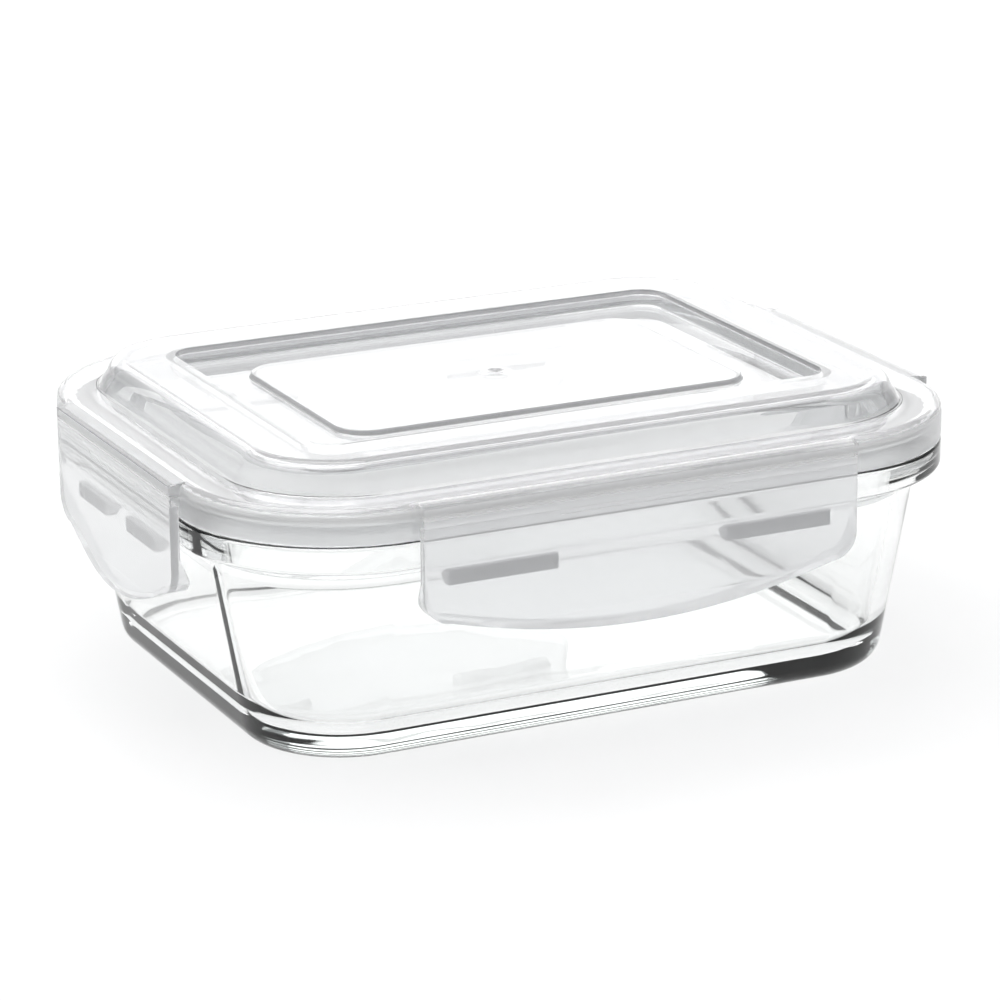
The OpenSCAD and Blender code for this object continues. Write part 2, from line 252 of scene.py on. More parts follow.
class StageSettings(bpy.types.PropertyGroup):
    """Floor, lights and camera"""

    azimuth: angle("Azimuth", "Turn of the camera around the container", -25.589)
    elevation: angle("Elevation", "Height of the camera over the floor, as an angle", 17.333)
    roll: angle("Roll", "Turn of the camera about its own axis", -0.524)
    distance: length("Distance", "From the camera to its target", 0.8607)
    target: bpy.props.FloatVectorProperty(
        name="Target",
        description="The point that the camera looks at",
        default=(-0.03884, -0.08285, 0.06267),
        subtype="XYZ",
        unit="LENGTH",
    )
    lens: bpy.props.FloatProperty(
        name="Lens", description="Focal length", default=151.62, subtype="DISTANCE_CAMERA", unit="CAMERA"
    )
    floor_size: length("Floor size", "Width of the floor", 40.0)
    floor_colour: colour("Floor", "Colour of the floor", (0.8, 0.8, 0.8))
    sky: colour("Sky", "Colour of the light overhead", (0.75, 0.75, 0.75))
    horizon: colour("Horizon", "Colour of the dim band over the walls", (0.3, 0.305, 0.315))
    wall: colour("Wall", "Colour of the low wall around the floor", (0.85, 0.85, 0.85))
    top_light: bpy.props.FloatProperty(
        name="Top light", description="Strength of the broad light overhead", default=2.1, min=0
    )
    top_spread: angle("Top spread", "Angle that the light overhead comes from", 60)
    back_width: length("Back width", "Width of the softbox", 2.4)
    back_height: length("Back height", "Height of the softbox", 1.0)
    back_light: bpy.props.FloatProperty(
        name="Back light", description="Power of the softbox behind the container, in watts", default=9, min=0
    )


# ---------------------------------------------------------------- shading


class Graph:
    """A material's nodes, made one at a time from their type, settings and socket values."""

    def __init__(self, tree):
        self.tree = tree
        tree.nodes.clear()

    def node(self, kind, settings=None, output=0, **sockets):
        """Adds a node from its type, its settings and its sockets, named as find_socket reads them."""
        node = self.tree.nodes.new(kind)
        for name, value in (settings or {}).items():
            if name == "stops":
                set_stops(node.color_ramp.elements, value)
            else:
                setattr(node, name, value)
        for name, value in sockets.items():
            self.feed(find_socket(node, name), value)
        return Signal(self, node.outputs[output]) if node.outputs else node

    def feed(self, socket, value):
        """Links or sets one socket."""
        if isinstance(value, Signal):
            self.tree.links.new(value.socket, socket)
        elif socket.type == "RGBA":
            socket.default_value = (*value, 1)
        else:
            socket.default_value = value


def find_socket(node, name):
    """A node's input by its name, with _ for a space, or by number where several share it, as in Value_1."""
    words, _, number = name.rpartition("_")
    if number.isdigit():
        return [s for s in node.inputs if s.name == words.replace("_", " ")][int(number)]
    return node.inputs[name.replace("_", " ")]


def set_stops(elements, stops):
    """Sets a ramp's stops, each a place and a colour."""
    while len(elements) < len(stops):
        elements.new(0.5)
    for element, (place, shade) in zip(elements, stops):
        element.position = place
        element.color = (*shade, 1)


class Signal:
    """A socket's value. Sums and products of signals and numbers add Math nodes."""

    def __init__(self, graph, socket):
        self.graph = graph
        self.socket = socket

    def math(self, operation, first, second):
        """A Math node on two signals or numbers."""
        return self.graph.node("ShaderNodeMath", {"operation": operation}, Value_0=first, Value_1=second)

    def __add__(self, other):
        return self.math("ADD", self, other)

    def __sub__(self, other):
        return self.math("SUBTRACT", self, other)

    def __mul__(self, other):
        return self.math("MULTIPLY", self, other)

    def __rsub__(self, other):
        return self.math("SUBTRACT", other, self)

    __radd__ = __add__
    __rmul__ = __mul__


def new_graph(name):
    """A new material and its empty graph."""
    material = bpy.data.materials.new(name)
    material.use_nodes = True
    return material, Graph(material.node_tree)


def finish_material(graph, surface, volume=None):
    """Adds the output node."""
    sockets = {"Surface": surface}
    if volume:
        sockets["Volume"] = volume
    graph.node("ShaderNodeOutputMaterial", **sockets)


def let_light_through(graph, surface, shade):
    """Lets the light of the lamps and the room reach what is behind a clear surface, a little dimmed."""
    soft_rays = graph.node(
        "ShaderNodeMath",
        {"operation": "MAXIMUM"},
        Value_0=graph.node("ShaderNodeLightPath", output="Is Shadow Ray"),
        Value_1=graph.node("ShaderNodeLightPath", output="Is Diffuse Ray"),
    )
    passed = graph.node("ShaderNodeBsdfTransparent", Color=(shade, shade, shade))
    return graph.node("ShaderNodeMixShader", Fac=soft_rays, Shader_0=surface, Shader_1=passed)


def noise(graph, point, scale, detail=3.0, roughness=0.55, distortion=0.0):
    """Noise from 0 to 1 on a point."""
    return graph.node(
        "ShaderNodeTexNoise",
        Vector=point,
        Scale=scale,
        Detail=detail,
        Roughness=roughness,
        Distortion=distortion,
    )


def bump(graph, height, distance, strength=1.0):
    """A normal from a height."""
    return graph.node("ShaderNodeBump", Height=height, Distance=distance, Strength=strength)


def stretched(graph, point, scale):
    """A point with its axes stretched, for marks that run one way."""
    return graph.node("ShaderNodeMapping", Vector=point, Scale=scale)


def object_point(graph):
    """The point on the piece, in the container's frame."""
    return graph.node("ShaderNodeTexCoord", output="Object")


def colour_between(graph, factor, first, second):
    """A colour between two, by a factor from 0 to 1."""
    return graph.node(
        "ShaderNodeMix", {"data_type": "RGBA"}, output=2, Factor_0=factor, A_2=first, B_2=second
    )


def drifting(graph, factor, base, share_of_base):
    """A colour that drifts from a base to a share of it, by a factor from 0 to 1."""
    return colour_between(graph, factor, base, tuple(channel * share_of_base for channel in base))


def fade(graph, value, start, end):
    """A smooth change from 0 to 1 as a value goes from start to end."""
    return graph.node(
        "ShaderNodeMapRange",
        {"interpolation_type": "SMOOTHSTEP"},
        Value=value,
        From_Min=start,
        From_Max=end,
        To_Min=0.0,
        To_Max=1.0,
    )


def upward(graph, vector):
    """The upward part of a direction or a point."""
    return graph.node("ShaderNodeSeparateXYZ", output="Z", Vector=vector)


def slope(graph, level, steep):
    """0 where the surface lies level and 1 where it is steep, by the upward part of its normal."""
    normal = graph.node("ShaderNodeTexCoord", output="Normal")
    size = graph.node("ShaderNodeMath", {"operation": "ABSOLUTE"}, Value_0=upward(graph, normal))
    return 1 - fade(graph, size, steep, level)


def above(graph, height, soft):
    """1 above a height, fading to 0 below it."""
    return fade(graph, upward(graph, object_point(graph)), height - soft, height + soft)


def pressed_glass(finishes):
    """Clear pressed glass: faint waves from the mould, a fire-polished gloss, and a green tint in depth."""
    material, graph = new_graph("pressed_glass")
    point = object_point(graph)
    waves = noise(graph, point, 45.0, detail=1.0)
    smudges = noise(graph, point, 120.0, detail=4.0)
    surface = graph.node(
        "ShaderNodeBsdfPrincipled",
        Base_Color=finishes.glass,
        Roughness=smudges * 0.03,
        IOR=1.5,
        Transmission_Weight=1.0,
        Normal=bump(graph, waves, 0.25 * MM, 0.35),
    )
    depth = graph.node("ShaderNodeVolumeAbsorption", Color=finishes.glass_depth, Density=1.5)
    finish_material(graph, let_light_through(graph, surface, 0.99), depth)
    return material


def glossy_lid_plastic(finishes):
    """Clear polypropylene: glossy, with flow waves, fine handling marks and a frosted skirt, with painted
    shade: a greyer colour on steep walls and a dark line at the recess's lip.
    """
    material, graph = new_graph("glossy_lid_plastic")
    point = object_point(graph)
    flow = noise(graph, stretched(graph, point, (1.0, 1.6, 1.0)), 30.0, detail=2.0, distortion=0.6)
    marks = noise(graph, stretched(graph, point, (1.0, 9.0, 3.0)), 260.0, detail=5.0, roughness=0.7)
    haze = noise(graph, point, 70.0, detail=3.0)
    steep = slope(graph, 0.93, 0.35)
    flange_top = bpy.context.scene.container_lid.flange_top
    skirt = steep * (1 - above(graph, flange_top, 0.6 * MM))
    # Painted shade: a dark line on the steep faces just under the recess's lip.
    lip = steep * above(graph, LID_HIGH.z - 0.35 * MM, 0.1 * MM)
    # Painted shade: steep walls drift to a greyer colour, so that the walls read grey and the flats white.
    painted_wall_shade = colour_between(graph, steep, finishes.lid, finishes.lid_wall)
    surface = graph.node(
        "ShaderNodeBsdfPrincipled",
        Base_Color=colour_between(graph, lip, painted_wall_shade, finishes.lid_lip),
        Roughness=haze * 0.02 + marks * 0.02 + skirt * finishes.skirt_haze,
        IOR=1.49,
        Transmission_Weight=finishes.lid_clearness,
        Normal=bump(graph, flow + marks * 0.008, 0.1 * MM, 0.25),
    )
    depth = graph.node("ShaderNodeVolumeAbsorption", Color=finishes.plastic_depth, Density=25.0)
    finish_material(graph, let_light_through(graph, surface, 0.985), depth)
    return material


def milky_plastic(finishes):
    """The latches' plastic: milky, with a satin gloss, flow lines along the part and a mottled haze."""
    material, graph = new_graph("milky_plastic")
    point = object_point(graph)
    flow = noise(graph, stretched(graph, point, (0.6, 0.6, 2.4)), 60.0, detail=3.0, distortion=0.4)
    grain = noise(graph, point, 900.0, detail=2.0)
    tint = drifting(graph, noise(graph, point, 35.0), finishes.latch, 0.96)
    surface = graph.node(
        "ShaderNodeBsdfPrincipled",
        Base_Color=tint,
        Roughness=flow * 0.06 + 0.03,
        IOR=1.49,
        Transmission_Weight=finishes.latch_clearness,
        Normal=bump(graph, flow + grain * 0.03, 0.06 * MM, 0.2),
    )
    depth = graph.node("ShaderNodeVolumeAbsorption", Color=finishes.plastic_depth, Density=25.0)
    finish_material(graph, let_light_through(graph, surface, 0.95), depth)
    return material


def grey_lug_plastic(finishes):
    """The thick lugs, which hold enough plastic to look grey."""
    material, graph = new_graph("grey_lug_plastic")
    point = object_point(graph)
    cloud = noise(graph, point, 110.0, detail=3.0)
    tint = drifting(graph, cloud, finishes.lug, 1.12)
    surface = graph.node(
        "ShaderNodeBsdfPrincipled",
        Base_Color=tint,
        Roughness=cloud * 0.2 + 0.15,
        IOR=1.49,
        Transmission_Weight=finishes.lug_clearness,
        Normal=bump(graph, cloud, 0.1 * MM, 0.3),
    )
    finish_material(graph, let_light_through(graph, surface, 0.8))
    return material


def soft_silicone(finishes):
    """Silicone rubber: white, dull and slightly uneven, with light inside it."""
    material, graph = new_graph("soft_silicone")
    point = object_point(graph)
    dust = noise(graph, point, 400.0, detail=4.0, roughness=0.65)
    tint = drifting(graph, noise(graph, point, 50.0), finishes.seal, 0.95)
    surface = graph.node(
        "ShaderNodeBsdfPrincipled",
        Base_Color=tint,
        Roughness=dust * 0.2 + 0.4,
        IOR=1.41,
        Subsurface_Weight=0.2,
        Subsurface_Radius=(0.003, 0.003, 0.003),
        Subsurface_Scale=1.0,
        Normal=bump(graph, dust, 0.05 * MM, 0.3),
    )
    finish_material(graph, surface)
    return material


# The material for each of the record's slots.
MAKERS = {
    "glass": pressed_glass,
    "clear_plastic": glossy_lid_plastic,
    "latch_plastic": milky_plastic,
    "lug_plastic": grey_lug_plastic,
    "silicone": soft_silicone,
}


def material_for(slot_name):
    """The slot's material, made once."""
    maker = MAKERS[slot_name]
    return bpy.data.materials.get(maker.__name__) or maker(bpy.context.scene.container_finishes)


# ---------------------------------------------------------------- modelling


def arc(centre, radius, start, end, steps=8):
    """Points on an arc in a profile, as (depth, height). Angle 0 points outwards and 90 up."""
    turns = [math.radians(start + (end - start) * i / steps) for i in range(steps + 1)]
    return [(centre[0] - radius * math.cos(t), centre[1] + radius * math.sin(t)) for t in turns]


def carry_round(bm, profile, half_length, half_width, radius, steps=14, cuts=None):
    """Carries a profile of (depth, height) points once around a rounded rectangle.

    cuts gives, for the sides along X and along Y, how far from the middle to put an extra row of edges.
    """
    middle = Vector((half_length - radius, half_width - radius, 0))
    before = set(bm.verts)
    start = [bm.verts.new((half_length - depth, -middle.y, height)) for depth, height in profile]
    geometry = start + [bm.edges.new(pair) for pair in zip(start, start[1:])]
    for turn in range(4):
        along_x = turn % 2 == 1
        run = middle.x if along_x else middle.y
        cut = (cuts or (None, None))[0 if along_x else 1]
        direction = Matrix.Rotation(math.radians(90 * turn), 3, "Z") @ Vector((0, 1, 0))
        for stretch in [2 * run] if cut is None else [run - cut, 2 * cut, run - cut]:
            geometry = sweep(bm, geometry, dvec=direction * stretch, steps=1)
        corner = Matrix.Rotation(math.radians(90 * turn), 3, "Z") @ Vector(
            (middle.y if along_x else middle.x, middle.x if along_x else middle.y, 0)
        )
        geometry = sweep(bm, geometry, cent=corner, angle=math.radians(90), steps=steps)
    # The new vertices are picked in the mesh's own order, so that each run merges them alike.
    bmesh.ops.remove_doubles(bm, verts=[v for v in bm.verts if v not in before], dist=SPECK / 2)


def sweep(bm, geometry, steps, angle=0.0, cent=(0, 0, 0), dvec=(0, 0, 0)):
    """One straight or turning stretch of a sweep. Gives the geometry at its far end."""
    return bmesh.ops.spin(
        bm, geom=geometry, cent=cent, axis=(0, 0, 1), dvec=dvec, angle=angle, steps=steps
    )["geom_last"]


def open_edges(bm, low, high):
    """The open edges that lie between two heights."""
    return [
        e for e in bm.edges if e.is_boundary and all(low - SPECK <= v.co.z <= high + SPECK for v in e.verts)
    ]


def bridge(bm, height):
    """Joins the open rim at a height to the one inside it, which stands higher by LIFT."""
    bmesh.ops.bridge_loops(bm, edges=open_edges(bm, height, height + LIFT))


def close_middle(bm, low, high):
    """Closes the open rim between two heights with one flat face."""
    bmesh.ops.holes_fill(bm, edges=open_edges(bm, low, high), sides=0)


def soften(bm, radius, sharper_than=30, segments=3, keep=lambda edge: True):
    """Rounds every edge that is sharper than an angle."""
    limit = math.radians(sharper_than)
    sharp = [e for e in bm.edges if len(e.link_faces) == 2 and e.calc_face_angle() > limit and keep(e)]
    bmesh.ops.bevel(
        bm,
        geom=sharp,
        offset=radius,
        offset_type="OFFSET",
        segments=segments,
        profile=0.5,
        affect="EDGES",
        clamp_overlap=True,
        material=-1,
    )


def to_side(bm, side):
    """Moves a mesh from a side's own view (x along it, y the depth in from the rim) to its place."""
    bmesh.ops.translate(bm, verts=bm.verts, vec=(0, -half_at(side), 0))
    turn = Matrix.Rotation(math.radians(SIDES[side]), 3, "Z")
    bmesh.ops.rotate(bm, verts=bm.verts, cent=(0, 0, 0), matrix=turn)


def piece(bm, name, slot_name, replaced, body=None):
    """Makes a finished object from a mesh, with its material, hides the CAD part that it stands in for, and,
    where a body is given, hangs it on the body that it rides on.
    """
    bmesh.ops.dissolve_degenerate(bm, edges=bm.edges, dist=SPECK)
    bmesh.ops.recalc_face_normals(bm, faces=bm.faces)
    for face in bm.faces:
        face.smooth = True
    mesh = bpy.data.meshes.new(name)
    bm.to_mesh(mesh)
    bm.free()
    obj = bpy.data.objects.new(name, mesh)
    bpy.context.scene.collection.objects.link(obj)
    obj.data.materials.append(material_for(slot_name))
    weighted = obj.modifiers.new("even_shading", "WEIGHTED_NORMAL")
    weighted.weight = 90
    weighted.keep_sharp = True
    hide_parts(replaced)
    if body:
        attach(obj, body)
    return obj


def round_centre(dish, radius, height, inset):
    """Centre of the round that touches a level line at a height and the leaning wall."""
    lean = dish.lean
    depth = dish.base_inset - ((height + radius) * math.sin(lean) - inset - radius) / math.cos(lean)
    return depth, height + radius


def wall_depth(dish, height):
    """Depth of the dish's outer face at a height."""
    return dish.base_inset - height * math.tan(dish.lean)


def model_dish(dish):
    """The dish's mesh: one profile carried round, with its floor closed above and below."""
    axis = dish.corner_radius
    lean = math.degrees(dish.lean)
    bead, edge, hollow, mouth = dish.bead_radius, dish.edge_radius, dish.hollow_radius, dish.mouth_radius
    slope_bottom = dish.bead_bottom - dish.slope
    # The hollow under the slope, and the two rows on the wall below it that keep the wall's shading flat.
    hollow_centre = (wall_depth(dish, slope_bottom) - 1.2 * MM, slope_bottom + 0.3 * MM)
    wall_rows = [slope_bottom - drop for drop in (2 * MM, 0.6 * MM)]
    inner_top = wall_depth(dish, DISH_HIGH.z) + dish.wall / math.cos(dish.lean)
    profile = [
        (axis, 0),
        *arc(round_centre(dish, dish.foot_radius, 0, 0), dish.foot_radius, -90, -lean, 24),
        *[(wall_depth(dish, height), height) for height in wall_rows],
        *arc(hollow_centre, 0.9 * MM, 185, 118, 3),
        *arc((bead, dish.bead_bottom + bead), bead, -62, 0, 6),
        *arc((edge, dish.bead_top - edge), edge, 0, 90, 5),
        *arc((dish.neck_inset - hollow, dish.bead_top + hollow), hollow, 270, 180, 3),
        *arc((dish.neck_inset + edge, DISH_HIGH.z - edge), edge, 0, 90, 5),
        *arc((inner_top - mouth, DISH_HIGH.z - mouth), mouth, 90, 170, 7),
        *arc(round_centre(dish, dish.bowl_radius, dish.floor, dish.wall), dish.bowl_radius, -lean, -90, 24),
        (axis, dish.floor),
    ]
    bm = bmesh.new()
    carry_round(bm, profile, HALF_LENGTH, HALF_WIDTH, axis, steps=36)
    close_middle(bm, 0, 0)
    close_middle(bm, dish.floor, dish.floor)
    return bm


def lid_edge_profile(lid, under, skirt_bottom, ledge_bottom, ledge_top):
    """The skirt, its shoulder and the flange, from the dome's underside round to the dome's foot."""
    edge = lid.skirt_edge
    rib = lid.plug_depth
    rib_in = rib + lid.plug
    rib_bottom = under - lid.plug_drop
    corner = (lid.edge_radius, lid.flange_top - lid.edge_radius)
    return [
        (rib_in + lid.foot_radius, under),
        (rib_in, under),
        *arc((rib_in - lid.plug_edge, rib_bottom + lid.plug_edge), lid.plug_edge, 180, 270, 3),
        *arc((rib + lid.plug_edge, rib_bottom + lid.plug_edge), lid.plug_edge, 270, 360, 3),
        (rib, under),
        (lid.thickness + 0.3 * MM, under),
        (lid.thickness, under - 0.3 * MM),
        *arc((lid.thickness - edge, skirt_bottom + edge), edge, 180, 270, 3),
        *arc((edge, skirt_bottom + edge), edge, 270, 360, 3),
        (0, ledge_bottom),
        *arc(corner, lid.edge_radius, 0, 90, 6)[:-1],
        (lid.edge_radius, ledge_top + 0.3 * MM),
        (lid.flange - lid.foot_radius, lid.flange_top),
    ]


def dome_top_profile(lid, ring_top, recess_top):
    """The dome from its foot over the shoulder and down into the recess, in depths from its own foot."""
    foot = lid.foot_radius
    shoulder = (lid.shoulder + lid.thickness, ring_top - lid.shoulder)
    lip = lid.lip_radius
    bottom = (lid.ring + lid.recess_slope, recess_top + lid.recess_radius)
    return [
        *arc((-foot, lid.flange_top + foot + LIFT), foot, 270, 200, 4),
        *arc(shoulder, lid.shoulder, 12, 90, 10),
        *arc((lid.ring - lip, ring_top - lip), lip, 90, 168, 4),
        *arc(bottom, lid.recess_radius, 348, 270, 4),
    ]


def dome_under_profile(lid, ring_top, recess_top, under):
    """The dome's underside, from over the plug rib up inside the ring and down to the recess."""
    shoulder = (lid.shoulder + lid.thickness, ring_top - lid.shoulder)
    inner = lid.shoulder - lid.thickness
    ceiling = ring_top - lid.thickness
    turn = lid.ring - lid.thickness
    soft = lid.under_radius
    return [
        (lid.thickness + 0.1 * MM, under + LIFT),
        *arc(shoulder, inner, 0, 90, 7),
        *arc((turn - soft, ceiling - soft), soft, 90, 168, 3),
        *arc((turn + lid.recess_slope, recess_top - lid.thickness + soft), soft, 348, 270, 3),
    ]


def raise_ledges(bm, lid, ledge_bottom, out):
    """Draws the four ledges out of the skirt, where the sides' extra rows of edges mark their ends.

    A ledge's face is upright, and its top rounds over in the last part of the lid's edge radius.
    """
    least_outward = 0.02
    rounded_part = 0.25
    for side in SIDES:
        half = side_box(side, "latch")[0] / 2
        back = Matrix.Rotation(math.radians(-SIDES[side]), 3, "Z")
        faces = []
        for face in bm.faces:
            here = back @ face.calc_center_median()
            on_side = here.y < -half_at(side) + lid.edge_radius and abs(here.x) < half - 1e-5
            faces_out = (back @ face.normal).y < -least_outward
            if on_side and faces_out and here.z > ledge_bottom:
                faces.append(face)
        grown = bmesh.ops.extrude_face_region(bm, geom=faces)["geom"]
        bmesh.ops.delete(bm, geom=faces, context="FACES_KEEP_BOUNDARY")
        for vert in (v for v in grown if isinstance(v, bmesh.types.BMVert)):
            here = back @ vert.co
            depth = here.y + half_at(side)
            under_top = (lid.flange_top - here.z) / lid.edge_radius
            drawn = math.sqrt(min(1.0, under_top / rounded_part))
            here.y = -half_at(side) + depth * (1 - drawn) - out * drawn
            vert.co = back.inverted() @ here


def gate_mark(bm, lid, top):
    """The ring and the nib that the moulding gate leaves in the middle of the pad.

    Each point of the profile is a radius and a height, from outside the ring in to the nib.
    """
    radius = lid.gate_radius
    low, high, nib = 0.05 * MM, lid.gate_rise, lid.gate_nib
    profile = [
        (radius + 2.0 * MM, top + LIFT),
        (radius + 0.6 * MM, top + LIFT),
        (radius + 0.1 * MM, top + high),
        (radius - 0.4 * MM, top + high),
        (radius - 1.0 * MM, top - low),
        (0.7 * MM, top - low),
        (0.5 * MM, top + nib - low),
        (0.25 * MM, top + nib),
    ]
    verts = [bm.verts.new((r, 0, z)) for r, z in profile]
    edges = [bm.edges.new(pair) for pair in zip(verts, verts[1:])]
    before = set(bm.verts) - set(verts)
    bmesh.ops.spin(
        bm, geom=verts + edges, cent=(0, 0, 0), axis=(0, 0, 1), angle=math.tau, steps=24, use_merge=True
    )
    bmesh.ops.remove_doubles(bm, verts=[v for v in bm.verts if v not in before], dist=1e-7)
    close_middle(bm, top + nib, top + nib)


def model_lid(lid, corner_radius):
    """The lid's mesh: skirt, dome and pad, bridged into one shell, then the ledges and the gate mark."""
    under = SEAL_HIGH.z
    ring_top = LID_HIGH.z
    recess_top = ring_top - lid.recess
    pad_top = recess_top + lid.pad_rise
    dome_length, dome_width = HALF_LENGTH - lid.flange, HALF_WIDTH - lid.flange
    _, _, ledge_bottom, out, _ = side_box("front", "living_hinge")
    ledge_top = ledge_bottom + lid.ledge
    cuts = (side_box("front", "latch")[0] / 2, side_box("left", "latch")[0] / 2)
    bm = bmesh.new()
    edge_profile = lid_edge_profile(lid, under, LID_LOW.z, ledge_bottom, ledge_top)
    carry_round(bm, edge_profile, HALF_LENGTH, HALF_WIDTH, corner_radius, cuts=cuts)
    carry_round(
        bm,
        dome_top_profile(lid, ring_top, recess_top),
        dome_length,
        dome_width,
        lid.dome_radius,
        cuts=cuts,
    )
    bridge(bm, lid.flange_top)
    carry_round(
        bm,
        dome_under_profile(lid, ring_top, recess_top, under),
        dome_length,
        dome_width,
        lid.dome_radius,
        cuts=cuts,
    )
    bridge(bm, under)
    pad_length = dome_length - lid.ring - lid.pad_inset
    pad_width = dome_width - lid.ring - lid.pad_inset
    soft, lean_in = lid.pad_edge, lid.pad_slope
    pad_profile = [
        *arc((-soft, recess_top + soft + LIFT), soft, 270, 190, 4),
        *arc((soft + lean_in, pad_top - soft), soft, 10, 90, 4),
        (lid.pad_radius, pad_top),
    ]
    carry_round(bm, pad_profile, pad_length, pad_width, lid.pad_radius)
    bridge(bm, recess_top)
    gate_mark(bm, lid, pad_top)
    bridge(bm, pad_top)
    thin = lid.thickness
    under_profile = [
        *arc((thin / 2 - soft, recess_top - thin + soft + LIFT), soft, 270, 190, 4),
        *arc((thin / 2 + soft + lean_in, pad_top - thin - soft), soft, 10, 90, 4),
        (lid.pad_radius, pad_top - thin),
    ]
    carry_round(bm, under_profile, pad_length, pad_width, lid.pad_radius)
    bridge(bm, recess_top - thin)
    close_middle(bm, pad_top - thin, pad_top - thin)
    bmesh.ops.recalc_face_normals(bm, faces=bm.faces)
    raise_ledges(bm, lid, ledge_bottom, -out)
    return bm


def model_seal(seal, plug_depth, corner_radius):
    """The silicone ring, with a flat back in the lid and two soft lips on the rim."""
    bottom, top = SEAL_LOW.z, SEAL_HIGH.z
    outer = HALF_LENGTH - SEAL_HIGH.x
    inner = plug_depth - seal.rib_gap
    middle = (outer + inner) / 2
    lip = (top - bottom) * seal.lip_height
    radius, inset = seal.lip_radius, seal.lip_inset
    back = top - seal.back_gap
    profile = [
        (outer, back),
        (outer, bottom + lip),
        *arc((outer + inset, bottom + radius), radius, -20, -160, 5),
        (middle, bottom + lip),
        *arc((inner - inset, bottom + radius), radius, -20, -160, 5),
        (inner, bottom + lip),
        (inner, back),
        (outer, back),
    ]
    bm = bmesh.new()
    carry_round(bm, profile, HALF_LENGTH, HALF_WIDTH, corner_radius, steps=18)
    return bm


def latch_outline(latch, side):
    """A latch's outline as the side sees it: its bowed lower edge, round corners and stepped upper edge."""
    width, low, high, _, _ = side_box(side, "latch")
    half = width / 2
    straight = half - latch.corner
    bow = latch.long_bow if side in ("front", "back") else latch.short_bow
    step = latch.step / 2 * width / side_box("front", "latch")[0]

    def bowed(x):
        return x, low + bow * (x / straight) ** 2

    corner_x, corner_z = bowed(straight)
    centre = (corner_x, corner_z + latch.corner)
    right = [bowed(straight * i / 20) for i in range(21)]
    right += [
        (centre[0] + latch.corner * math.sin(t), centre[1] - latch.corner * math.cos(t))
        for t in (math.radians(10 * i) for i in range(1, 10))
    ]
    right += [(half, high), (step + latch.step_drop, high), (step, high - latch.step_drop)]
    return right + [(-x, z) for x, z in reversed(right) if x > 0]


def turned_tip(latch, height, low, high):
    """Depth that the turned-in edge reaches at a height."""
    top = high - latch.turned_start
    full = top - latch.turned_run
    fold = low + latch.grip
    flush = -latch.gap + latch.turned_flush
    deep = latch.turned_depth - latch.gap
    if height > top:
        return flush
    if height > full:
        return flush + (deep - flush) * (top - height) / (top - full)
    if height > fold:
        return deep
    return deep - (fold - height) * latch.grip_taper


def model_latch(latch, side):
    """A latch plate: a tray with its rim shaped in depth, and a grip folded out at the lower edge."""
    _, low, high, outermost, _ = side_box(side, "latch")
    out = -latch.gap - latch.plate
    bm = bmesh.new()
    rim = [bm.verts.new((x, latch.turned_depth - latch.gap, z)) for x, z in latch_outline(latch, side)]
    back = bm.faces.new(rim)
    grown = bmesh.ops.extrude_face_region(bm, geom=[back])["geom"]
    front = [v for v in grown if isinstance(v, bmesh.types.BMVert)]
    bmesh.ops.translate(bm, verts=front, vec=(0, out - latch.turned_depth + latch.gap, 0))
    bmesh.ops.inset_region(bm, faces=[back], thickness=latch.turned, use_even_offset=True)
    well = bmesh.ops.extrude_face_region(bm, geom=[back])["geom"]
    well_verts = [v for v in well if isinstance(v, bmesh.types.BMVert)]
    if back.is_valid:
        bmesh.ops.delete(bm, geom=[back], context="FACES_ONLY")
    for vert in well_verts:
        vert.co.y = -latch.gap
    fold = low + latch.grip
    top = high - latch.turned_start
    for height in (fold, top, top - latch.turned_run):
        bmesh.ops.bisect_plane(
            bm, geom=bm.verts[:] + bm.edges[:] + bm.faces[:], plane_co=(0, 0, height), plane_no=(0, 0, 1)
        )
    for vert in bm.verts:
        if vert.co.y > -latch.gap + NUDGE:
            vert.co.y = turned_tip(latch, vert.co.z, low, high)
    for vert in bm.verts:
        if vert.co.z < fold:
            vert.co.y -= (out - outermost) * (fold - vert.co.z) / latch.grip
    bmesh.ops.recalc_face_normals(bm, faces=bm.faces)
    soften(bm, latch.softness, 35)
    to_side(bm, side)
    return bm


def model_lugs(latch, side):
    """The two lugs of a latch, sloped to the bead over them and softened all round."""
    width, low, high, out, tip = side_box(side, "lugs")
    length_of_lug = latch.long_lug if side in ("front", "back") else latch.short_lug
    bm = bmesh.new()
    section = [
        (out, low),
        (out, high),
        (latch.lug_flat, high),
        (tip, high - latch.lug_slope),
        (tip, low + latch.lug_bevel),
        (tip - latch.lug_bevel, low),
    ]
    for way in (-1, 1):
        end = way * width / 2
        verts = [bm.verts.new((end, depth, height)) for depth, height in section]
        face = bm.faces.new(verts)
        grown = bmesh.ops.extrude_face_region(bm, geom=[face])["geom"]
        far = [v for v in grown if isinstance(v, bmesh.types.BMVert)]
        bmesh.ops.translate(bm, verts=far, vec=(-way * length_of_lug, 0, 0))
    bmesh.ops.recalc_face_normals(bm, faces=bm.faces)
    soften(bm, latch.softness, 20)
    to_side(bm, side)
    return bm


